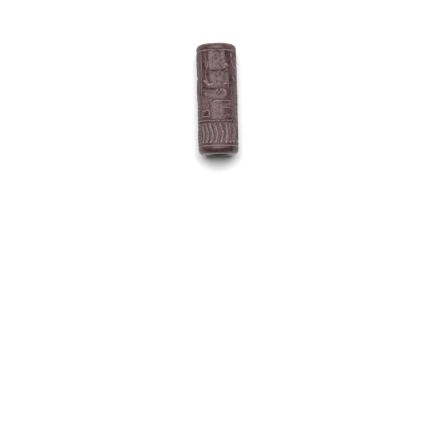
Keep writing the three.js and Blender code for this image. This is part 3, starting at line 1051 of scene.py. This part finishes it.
patterns = {  # size in mm, detail, distortion, and the part of the noise that is stretched to 0 to 1
    "clouds": (CLOUD, 5.0, 0.6, 0.35, 0.65),
    "mottle": (MOTTLE, 4.0, 0.0, 0.35, 0.65),
    "grains": (GRAIN, 3.0, 0.0, 0.3, 0.7),
}
coordinates = node(tree, "ShaderNodeTexCoord").outputs["Object"]
drawn = {}
for name, (size, detail, distortion, start, end) in patterns.items():
    inputs = {"Vector": coordinates, "Scale": 1 / (size * MM), "Detail": detail, "Distortion": distortion}
    noise = node(tree, "ShaderNodeTexNoise", inputs).outputs["Fac"]
    limits = {"Value": noise, "From Min": start, "From Max": end}
    drawn[name] = node(tree, "ShaderNodeMapRange", limits).outputs["Result"]
clouds, mottle, grains = drawn.values()
print("patterns in mm:", {name: values[0] for name, values in patterns.items()})

# %% Haematite: where it counts as cut
RAGGED = 0.03  # how far the mottle moves the border between polished and cut, in mm of depth
CUT_FROM = 0.02
CUT_FULLY = 0.11

limits = {"Value": mottle, "To Min": -RAGGED, "To Max": RAGGED}
ragged = node(tree, "ShaderNodeMapRange", limits).outputs["Result"]
edge = node(tree, "ShaderNodeMath", {0: read["cut_depth"], 1: ragged}, operation="ADD").outputs[0]
limits = {"Value": edge, "From Min": CUT_FROM, "From Max": CUT_FULLY}
is_cut = node(tree, "ShaderNodeMapRange", limits).outputs["Result"]
print("cut from", CUT_FROM, "to", CUT_FULLY, "mm deep")

# %% Haematite: colours of the ground and the cuts


def layered(colour, layers):
    """Lays colours over a first one; each has the value it follows, that value's range, and its shares."""
    for value, (start, end), (least, most), hex_colour in layers:
        limits = {"Value": value, "From Min": start, "From Max": end, "To Min": least, "To Max": most}
        share = node(tree, "ShaderNodeMapRange", limits).outputs["Result"]
        inputs = {0: share, 6: colour, 7: linear(hex_colour)}
        colour = node(tree, "ShaderNodeMix", inputs, data_type="RGBA").outputs[2]
    return colour


whole = (0.0, 1.0)
ground = layered(
    linear("#1c0609"),  # the darkest red-brown, between the clouds
    [
        (clouds, whole, whole, "#4b2e31"),
        (mottle, (0.2, 0.9), (0.0, 0.8), "#5e393e"),
        (grains, whole, (0.0, 0.35), "#1f0d10"),
        # painted shade on the band below the lower ruled line, which faces away from the light
        (read["polish_and_shade"], whole, (0.0, 0.25), "#1d0609"),
    ],
)
matt = layered(
    linear("#584144"),  # broken stone
    [
        (grains, whole, whole, "#776163"),
        (mottle, whole, (0.0, 0.6), "#3d2729"),
        (clouds, whole, (0.2, 0.0), "#36201f"),
        (read["narrow"], (0.0, 0.1), whole, "#8e787b"),  # dust, and a painted highlight on the narrow cuts
        (read["painted_shade"], (0.1, 0.8), (0.0, 0.85), "#2b1215"),  # painted shade in the deepest cuts and the bore
    ],
)
surface = node(tree, "ShaderNodeMix", {0: is_cut, 6: ground, 7: matt}, data_type="RGBA").outputs[2]
print("ground and matt colours:", len(tree.nodes), "nodes so far")

# %% Haematite: painted highlights on the edges
# a painted highlight, in patches: light caught by the upper bevel and the table reflected on the lower
# corners
RIM_HIGHLIGHT_COLOUR = "#b4a2a4"

both = node(tree, "ShaderNodeMath", {0: clouds, 1: mottle}, operation="ADD").outputs[0]
limits = {"Value": both, "From Min": 0.5, "From Max": 1.4, "To Min": 0.15, "To Max": 1.0}
patchy = node(tree, "ShaderNodeMapRange", limits).outputs["Result"]
highlight_share = node(tree, "ShaderNodeMath", {0: read["rim_highlight"], 1: patchy}, operation="MULTIPLY").outputs[0]
inputs = {0: highlight_share, 6: surface, 7: linear(RIM_HIGHLIGHT_COLOUR)}
colour = node(tree, "ShaderNodeMix", inputs, data_type="RGBA").outputs[2]
print("rubbed edges are", RIM_HIGHLIGHT_COLOUR)

# %% Haematite: gloss and bump
POLISH = (0.42, 0.54)  # roughness of the ground, from between the clouds to their middles
HANDLED_POLISH = 0.34
MATT = 0.72
GRAIN_HEIGHT = 0.015
STONE_IOR = 1.5

limits = {"Value": clouds, "To Min": POLISH[0], "To Max": POLISH[1]}
polish = node(tree, "ShaderNodeMapRange", limits).outputs["Result"]
limits = {"Value": read["polish_and_shade"], "To Min": polish, "To Max": HANDLED_POLISH}
polish = node(tree, "ShaderNodeMapRange", limits).outputs["Result"]
limits = {"Value": is_cut, "To Min": polish, "To Max": MATT}
rough = node(tree, "ShaderNodeMapRange", limits).outputs["Result"]
height = node(tree, "ShaderNodeMath", {0: grains, 1: mottle}, operation="ADD").outputs[0]
inputs = {"Height": height, "Strength": 0.25, "Distance": GRAIN_HEIGHT * MM}
bump = node(tree, "ShaderNodeBump", inputs).outputs["Normal"]
inputs = {"Base Color": colour, "Roughness": rough, "Normal": bump, "IOR": STONE_IOR}
shader = node(tree, "ShaderNodeBsdfPrincipled", inputs)
node(tree, "ShaderNodeOutputMaterial", {"Surface": shader.outputs["BSDF"]})
print("stone:", len(tree.nodes), "nodes")

# %% Give the seal its stone and its place in the frame
seal.data.materials.clear()
seal.data.materials.append(stone)
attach(seal, "root")
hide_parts("seal_body")
print("the seal is", seal.name, "in", stone.name)

# %% [markdown]
# ## Table and light
# A pale table painted matt, which gives the eye no highlight, runs out of sight. The one light is broad
# and soft and hangs a little beyond the upper end. The lower side of each cut catches it, and the crest
# of the barrel mirrors it as a wide dim sheen. The flanks mirror the table instead, so they look paler
# and greyer than the stone is. A second light would fill the cuts and flatten them.

# %% Table
TABLE_SIZE = 3.0  # in metres
BRUSH_MARKS = 8.0

bpy.ops.object.select_all(action="DESELECT")
bpy.ops.mesh.primitive_plane_add(size=TABLE_SIZE, location=(0, 0, 0))
table = bpy.context.object
table.name = "table"
paint, tree = new_material("matt_white_paint")
coordinates = node(tree, "ShaderNodeTexCoord").outputs["Object"]
inputs = {"Vector": coordinates, "Scale": 1 / (BRUSH_MARKS * MM), "Detail": 4.0, "Distortion": 0.0}
marks = node(tree, "ShaderNodeTexNoise", inputs).outputs["Fac"]
inputs = {0: marks, 6: linear("#f3f3f3"), 7: linear("#f7f7f7")}
white = node(tree, "ShaderNodeMix", inputs, data_type="RGBA").outputs[2]
shader = node(tree, "ShaderNodeBsdfPrincipled", {"Base Color": white, "Roughness": 0.9})
node(tree, "ShaderNodeOutputMaterial", {"Surface": shader.outputs["BSDF"]})
table.data.materials.append(paint)
print("table:", TABLE_SIZE, "m wide")

# %% Light
KEY_PLACE = (0, 139, 433)
KEY_SIZE = (500, 290)
KEY_POWER = 3.6
ROOM = (0.9, 0.9, 0.9, 1)
ROOM_STRENGTH = 0.17

key = bpy.data.lights.new("key_beyond_upper_end", "AREA")
key.shape = "RECTANGLE"
key.size = KEY_SIZE[0] * MM
key.size_y = KEY_SIZE[1] * MM
key.energy = KEY_POWER
holder = bpy.data.objects.new(key.name, key)
bpy.context.collection.objects.link(holder)
holder.location = Vector(KEY_PLACE) * MM
away_from_seal = Vector(KEY_PLACE) - Vector((0, 0, axis_height))
holder.rotation_euler = away_from_seal.to_track_quat("Z", "Y").to_euler()

world = bpy.data.worlds.new("dim_studio")
bpy.context.scene.world = world
world.use_nodes = True
background = world.node_tree.nodes["Background"]
background.inputs["Color"].default_value = ROOM
background.inputs["Strength"].default_value = ROOM_STRENGTH
bpy.context.scene.view_settings.view_transform = "Standard"
print("light:", holder.name, "at", KEY_PLACE, "mm")
